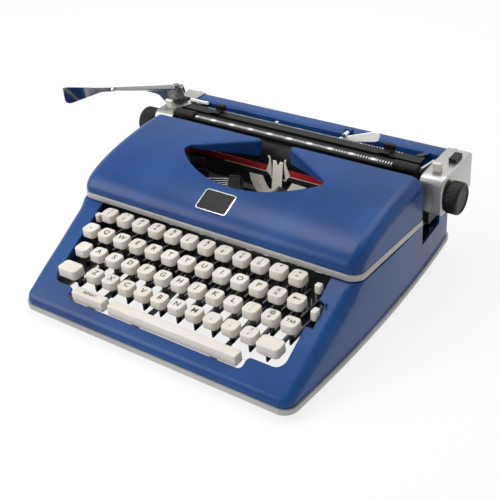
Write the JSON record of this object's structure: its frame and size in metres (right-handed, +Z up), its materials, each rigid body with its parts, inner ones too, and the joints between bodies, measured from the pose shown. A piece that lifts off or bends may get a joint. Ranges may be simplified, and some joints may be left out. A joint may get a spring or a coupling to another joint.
{
  "type": "manual typewriter",
  "caption": "Portable manual typewriter with a lift-up hood, sprung lever keys in stepped rows, a sliding carriage with a turning platen and a return lever.",
  "frame": {"origin": "middle of the whole machine seen from above, return lever included, on the table the feet stand on", "axes": "+X to the typist's right, +Y to the back, +Z up"},
  "size_m": [0.437, 0.296, 0.1274],
  "materials": {
    "blue_paint": "satin",
    "light_trim": "satin",
    "foot_rubber": "matt",
    "black_steel": "satin black",
    "bright_steel": "brushed",
    "chrome": "polished",
    "silver_plastic": "satin silver",
    "cream_plastic": "smooth",
    "black_plastic": "satin",
    "white_plastic": "smooth",
    "ribbon_cloth": "woven",
    "platen_rubber": "smooth"
  },
  "bodies": {
    "body": {"rubber_feet": "foot_rubber", "base_rim": "light_trim", "body_shell": "blue_paint", "chassis": "black_steel", "key_comb": "black_steel", "key_pivot_rod": "bright_steel", "type_segment": "bright_steel", "type_bars": "bright_steel", "type_guide": "bright_steel", "ribbon": "ribbon_cloth", "carriage_rail": "bright_steel"},
    "carriage": {"carriage_frame": "black_steel", "end_covers": "silver_plastic", "paper_table": "blue_paint", "margin_rail": "black_steel"},
    "hood": {"hood": "blue_paint", "hood_trim": "light_trim"},
    "platen": {"platen": "platen_rubber", "platen_knobs": "black_plastic"},
    "ribbon_spool_left": {"ribbon_spool_left": "bright_steel"},
    "ribbon_spool_right": {"ribbon_spool_right": "bright_steel"},
    "margin_stop_left": {"margin_stop_left": "black_plastic"},
    "margin_stop_right": {"margin_stop_right": "black_plastic"},
    "paper_bail": {"paper_bail": "black_steel"},
    "paper_support": {"paper_support": "white_plastic"},
    "return_lever": {"return_lever": "chrome"},
    "ribbon_selector": {"ribbon_selector": "cream_plastic"},
    "carriage_lock_tab": {"carriage_lock_tab": "cream_plastic"},
    "margin_release_tab": {"margin_release_tab": "cream_plastic"},
    "paper_release_lever": {"paper_release_lever": "cream_plastic"},
    "line_space_lever": {"line_space_lever": "cream_plastic"},
    "carriage_release_button": {"carriage_release_button": "black_plastic"},
    "number_keys": {"number_keys": "cream_plastic"},
    "bottom_keys": {"bottom_keys": "cream_plastic"},
    "mark_keys": {"mark_keys": "cream_plastic"},
    "shift_keys": {"shift_keys": "cream_plastic"},
    "shift_lock": {"shift_lock": "cream_plastic"},
    "backspace_key": {"backspace_key": "cream_plastic"},
    "tab_key": {"tab_key": "cream_plastic"},
    "space_bar": {"space_bar": "cream_plastic"},
    "repeat_bar": {"repeat_bar": "cream_plastic"},
    "key_q": {"key_q": "cream_plastic"},
    "key_w": {"key_w": "cream_plastic"},
    "key_e": {"key_e": "cream_plastic"},
    "key_r": {"key_r": "cream_plastic"},
    "key_t": {"key_t": "cream_plastic"},
    "key_y": {"key_y": "cream_plastic"},
    "key_u": {"key_u": "cream_plastic"},
    "key_i": {"key_i": "cream_plastic"},
    "key_o": {"key_o": "cream_plastic"},
    "key_p": {"key_p": "cream_plastic"},
    "key_a": {"key_a": "cream_plastic"},
    "key_s": {"key_s": "cream_plastic"},
    "key_d": {"key_d": "cream_plastic"},
    "key_f": {"key_f": "cream_plastic"},
    "key_g": {"key_g": "cream_plastic"},
    "key_h": {"key_h": "cream_plastic"},
    "key_j": {"key_j": "cream_plastic"},
    "key_k": {"key_k": "cream_plastic"},
    "key_l": {"key_l": "cream_plastic"}
  },
  "joints": [
    {"name": "carriage_slide", "type": "slide", "parent": "body", "child": "carriage", "axis": [-1, 0, 0], "range_m": [-0.1, 0.1]},
    {"name": "hood_lift", "type": "hinge", "parent": "body", "child": "hood", "pos_m": [0.03948, 0.066, 0.1], "axis": [-1, 0, 0], "range_deg": [0, 20]},
    {"name": "platen_turn", "type": "hinge", "parent": "carriage", "child": "platen", "pos_m": [0.03948, 0.094, 0.085], "axis": [1, 0, 0], "continuous": true},
    {"name": "return_lever_swing", "type": "hinge", "parent": "carriage", "child": "return_lever", "pos_m": [-0.11752, 0.115, 0.112], "axis": [0, 0, 1], "range_deg": [0, 30], "stiffness_Nm_per_rad": 0.2, "springref_deg": -11.46},
    {"name": "paper_bail_lift", "type": "hinge", "parent": "carriage", "child": "paper_bail", "pos_m": [0.03948, 0.128, 0.0985], "axis": [-1, 0, 0], "range_deg": [0, 35]},
    {"name": "paper_support_swing", "type": "hinge", "parent": "carriage", "child": "paper_support", "pos_m": [0.08548, 0.121, 0.107], "axis": [0, -1, 0], "range_deg": [0, 70]},
    {"name": "margin_stop_left_slide", "type": "slide", "parent": "carriage", "child": "margin_stop_left", "axis": [1, 0, 0], "range_m": [-0.02, 0.06]},
    {"name": "margin_stop_right_slide", "type": "slide", "parent": "carriage", "child": "margin_stop_right", "axis": [1, 0, 0], "range_m": [-0.06, 0.02]},
    {"name": "paper_release_pull", "type": "hinge", "parent": "carriage", "child": "paper_release_lever", "pos_m": [0.19148, 0.112, 0.09], "axis": [1, 0, 0], "range_deg": [0, 15]},
    {"name": "line_space_pull", "type": "hinge", "parent": "carriage", "child": "line_space_lever", "pos_m": [-0.11252, 0.112, 0.09], "axis": [1, 0, 0], "range_deg": [0, 15]},
    {"name": "carriage_release_press", "type": "slide", "parent": "carriage", "child": "carriage_release_button", "axis": [0, 0, -1], "range_m": [0, 0.003], "stiffness_N_per_m": 300, "springref_m": -0.002},
    {"name": "ribbon_selector_slide", "type": "slide", "parent": "body", "child": "ribbon_selector", "axis": [0, 0.887, 0.4617], "range_m": [-0.005, 0.005]},
    {"name": "carriage_lock_press", "type": "slide", "parent": "body", "child": "carriage_lock_tab", "axis": [0, 0, -1], "range_m": [0, 0.004], "stiffness_N_per_m": 200, "springref_m": -0.002},
    {"name": "margin_release_press", "type": "slide", "parent": "body", "child": "margin_release_tab", "axis": [0, 0, -1], "range_m": [0, 0.004], "stiffness_N_per_m": 200, "springref_m": -0.002},
    {"name": "ribbon_spool_left_turn", "type": "hinge", "parent": "body", "child": "ribbon_spool_left", "pos_m": [-0.06052, 0.028, 0.076], "axis": [0, 0, 1], "continuous": true},
    {"name": "ribbon_spool_right_turn", "type": "hinge", "parent": "body", "child": "ribbon_spool_right", "pos_m": [0.13948, 0.028, 0.076], "axis": [0, 0, 1], "continuous": true},
    {"name": "space_bar_press", "type": "hinge", "parent": "body", "child": "space_bar", "pos_m": [0.03948, 0.07, 0.03], "axis": [1, 0, 0], "range_deg": [0, 2.2], "stiffness_Nm_per_rad": 1.2, "springref_deg": -5.73},
    {"name": "repeat_bar_press", "type": "hinge", "parent": "body", "child": "repeat_bar", "pos_m": [0.03948, 0.07, 0.03], "axis": [1, 0, 0], "range_deg": [0, 2.2], "stiffness_Nm_per_rad": 0.51, "springref_deg": -5.73},
    {"name": "shift_keys_press", "type": "hinge", "parent": "body", "child": "shift_keys", "pos_m": [0.03948, 0.07, 0.03], "axis": [1, 0, 0], "range_deg": [0, 3.4], "stiffness_Nm_per_rad": 1.5, "springref_deg": -5.73},
    {"name": "number_keys_press", "type": "hinge", "parent": "body", "child": "number_keys", "pos_m": [0.03948, 0.07, 0.03], "axis": [1, 0, 0], "range_deg": [0, 4.9], "stiffness_Nm_per_rad": 3.6, "springref_deg": -5.73},
    {"name": "bottom_keys_press", "type": "hinge", "parent": "body", "child": "bottom_keys", "pos_m": [0.03948, 0.07, 0.03], "axis": [1, 0, 0], "range_deg": [0, 3.4], "stiffness_Nm_per_rad": 3, "springref_deg": -5.73},
    {"name": "mark_keys_press", "type": "hinge", "parent": "body", "child": "mark_keys", "pos_m": [0.03948, 0.07, 0.03], "axis": [1, 0, 0], "range_deg": [0, 3.8], "stiffness_Nm_per_rad": 1.2, "springref_deg": -5.73},
    {"name": "shift_lock_press", "type": "hinge", "parent": "body", "child": "shift_lock", "pos_m": [0.03948, 0.07, 0.03], "axis": [1, 0, 0], "range_deg": [0, 3.8], "stiffness_Nm_per_rad": 0.3, "springref_deg": -5.73},
    {"name": "backspace_key_press", "type": "hinge", "parent": "body", "child": "backspace_key", "pos_m": [0.03948, 0.07, 0.03], "axis": [1, 0, 0], "range_deg": [0, 4.3], "stiffness_Nm_per_rad": 0.3, "springref_deg": -5.73},
    {"name": "tab_key_press", "type": "hinge", "parent": "body", "child": "tab_key", "pos_m": [0.03948, 0.07, 0.03], "axis": [1, 0, 0], "range_deg": [0, 3.8], "stiffness_Nm_per_rad": 0.3, "springref_deg": -5.73},
    {"name": "key_q_press", "type": "hinge", "parent": "body", "child": "key_q", "pos_m": [0.03948, 0.07, 0.03], "axis": [1, 0, 0], "range_deg": [0, 4.3], "stiffness_Nm_per_rad": 0.3, "springref_deg": -5.73},
    {"name": "key_w_press", "type": "hinge", "parent": "body", "child": "key_w", "pos_m": [0.03948, 0.07, 0.03], "axis": [1, 0, 0], "range_deg": [0, 4.3], "stiffness_Nm_per_rad": 0.3, "springref_deg": -5.73},
    {"name": "key_e_press", "type": "hinge", "parent": "body", "child": "key_e", "pos_m": [0.03948, 0.07, 0.03], "axis": [1, 0, 0], "range_deg": [0, 4.3], "stiffness_Nm_per_rad": 0.3, "springref_deg": -5.73},
    {"name": "key_r_press", "type": "hinge", "parent": "body", "child": "key_r", "pos_m": [0.03948, 0.07, 0.03], "axis": [1, 0, 0], "range_deg": [0, 4.3], "stiffness_Nm_per_rad": 0.3, "springref_deg": -5.73},
    {"name": "key_t_press", "type": "hinge", "parent": "body", "child": "key_t", "pos_m": [0.03948, 0.07, 0.03], "axis": [1, 0, 0], "range_deg": [0, 4.3], "stiffness_Nm_per_rad": 0.3, "springref_deg": -5.73},
    {"name": "key_y_press", "type": "hinge", "parent": "body", "child": "key_y", "pos_m": [0.03948, 0.07, 0.03], "axis": [1, 0, 0], "range_deg": [0, 4.3], "stiffness_Nm_per_rad": 0.3, "springref_deg": -5.73},
    {"name": "key_u_press", "type": "hinge", "parent": "body", "child": "key_u", "pos_m": [0.03948, 0.07, 0.03], "axis": [1, 0, 0], "range_deg": [0, 4.3], "stiffness_Nm_per_rad": 0.3, "springref_deg": -5.73},
    {"name": "key_i_press", "type": "hinge", "parent": "body", "child": "key_i", "pos_m": [0.03948, 0.07, 0.03], "axis": [1, 0, 0], "range_deg": [0, 4.3], "stiffness_Nm_per_rad": 0.3, "springref_deg": -5.73},
    {"name": "key_o_press", "type": "hinge", "parent": "body", "child": "key_o", "pos_m": [0.03948, 0.07, 0.03], "axis": [1, 0, 0], "range_deg": [0, 4.3], "stiffness_Nm_per_rad": 0.3, "springref_deg": -5.73},
    {"name": "key_p_press", "type": "hinge", "parent": "body", "child": "key_p", "pos_m": [0.03948, 0.07, 0.03], "axis": [1, 0, 0], "range_deg": [0, 4.3], "stiffness_Nm_per_rad": 0.3, "springref_deg": -5.73},
    {"name": "key_a_press", "type": "hinge", "parent": "body", "child": "key_a", "pos_m": [0.03948, 0.07, 0.03], "axis": [1, 0, 0], "range_deg": [0, 3.8], "stiffness_Nm_per_rad": 0.3, "springref_deg": -5.73},
    {"name": "key_s_press", "type": "hinge", "parent": "body", "child": "key_s", "pos_m": [0.03948, 0.07, 0.03], "axis": [1, 0, 0], "range_deg": [0, 3.8], "stiffness_Nm_per_rad": 0.3, "springref_deg": -5.73},
    {"name": "key_d_press", "type": "hinge", "parent": "body", "child": "key_d", "pos_m": [0.03948, 0.07, 0.03], "axis": [1, 0, 0], "range_deg": [0, 3.8], "stiffness_Nm_per_rad": 0.3, "springref_deg": -5.73},
    {"name": "key_f_press", "type": "hinge", "parent": "body", "child": "key_f", "pos_m": [0.03948, 0.07, 0.03], "axis": [1, 0, 0], "range_deg": [0, 3.8], "stiffness_Nm_per_rad": 0.3, "springref_deg": -5.73},
    {"name": "key_g_press", "type": "hinge", "parent": "body", "child": "key_g", "pos_m": [0.03948, 0.07, 0.03], "axis": [1, 0, 0], "range_deg": [0, 3.8], "stiffness_Nm_per_rad": 0.3, "springref_deg": -5.73},
    {"name": "key_h_press", "type": "hinge", "parent": "body", "child": "key_h", "pos_m": [0.03948, 0.07, 0.03], "axis": [1, 0, 0], "range_deg": [0, 3.8], "stiffness_Nm_per_rad": 0.3, "springref_deg": -5.73},
    {"name": "key_j_press", "type": "hinge", "parent": "body", "child": "key_j", "pos_m": [0.03948, 0.07, 0.03], "axis": [1, 0, 0], "range_deg": [0, 3.8], "stiffness_Nm_per_rad": 0.3, "springref_deg": -5.73},
    {"name": "key_k_press", "type": "hinge", "parent": "body", "child": "key_k", "pos_m": [0.03948, 0.07, 0.03], "axis": [1, 0, 0], "range_deg": [0, 3.8], "stiffness_Nm_per_rad": 0.3, "springref_deg": -5.73},
    {"name": "key_l_press", "type": "hinge", "parent": "body", "child": "key_l", "pos_m": [0.03948, 0.07, 0.03], "axis": [1, 0, 0], "range_deg": [0, 3.8], "stiffness_Nm_per_rad": 0.3, "springref_deg": -5.73}
  ],
  "couplings": [
    {"joint": "ribbon_spool_right_turn", "follows": "ribbon_spool_left_turn", "ratio": 1}
  ]
}
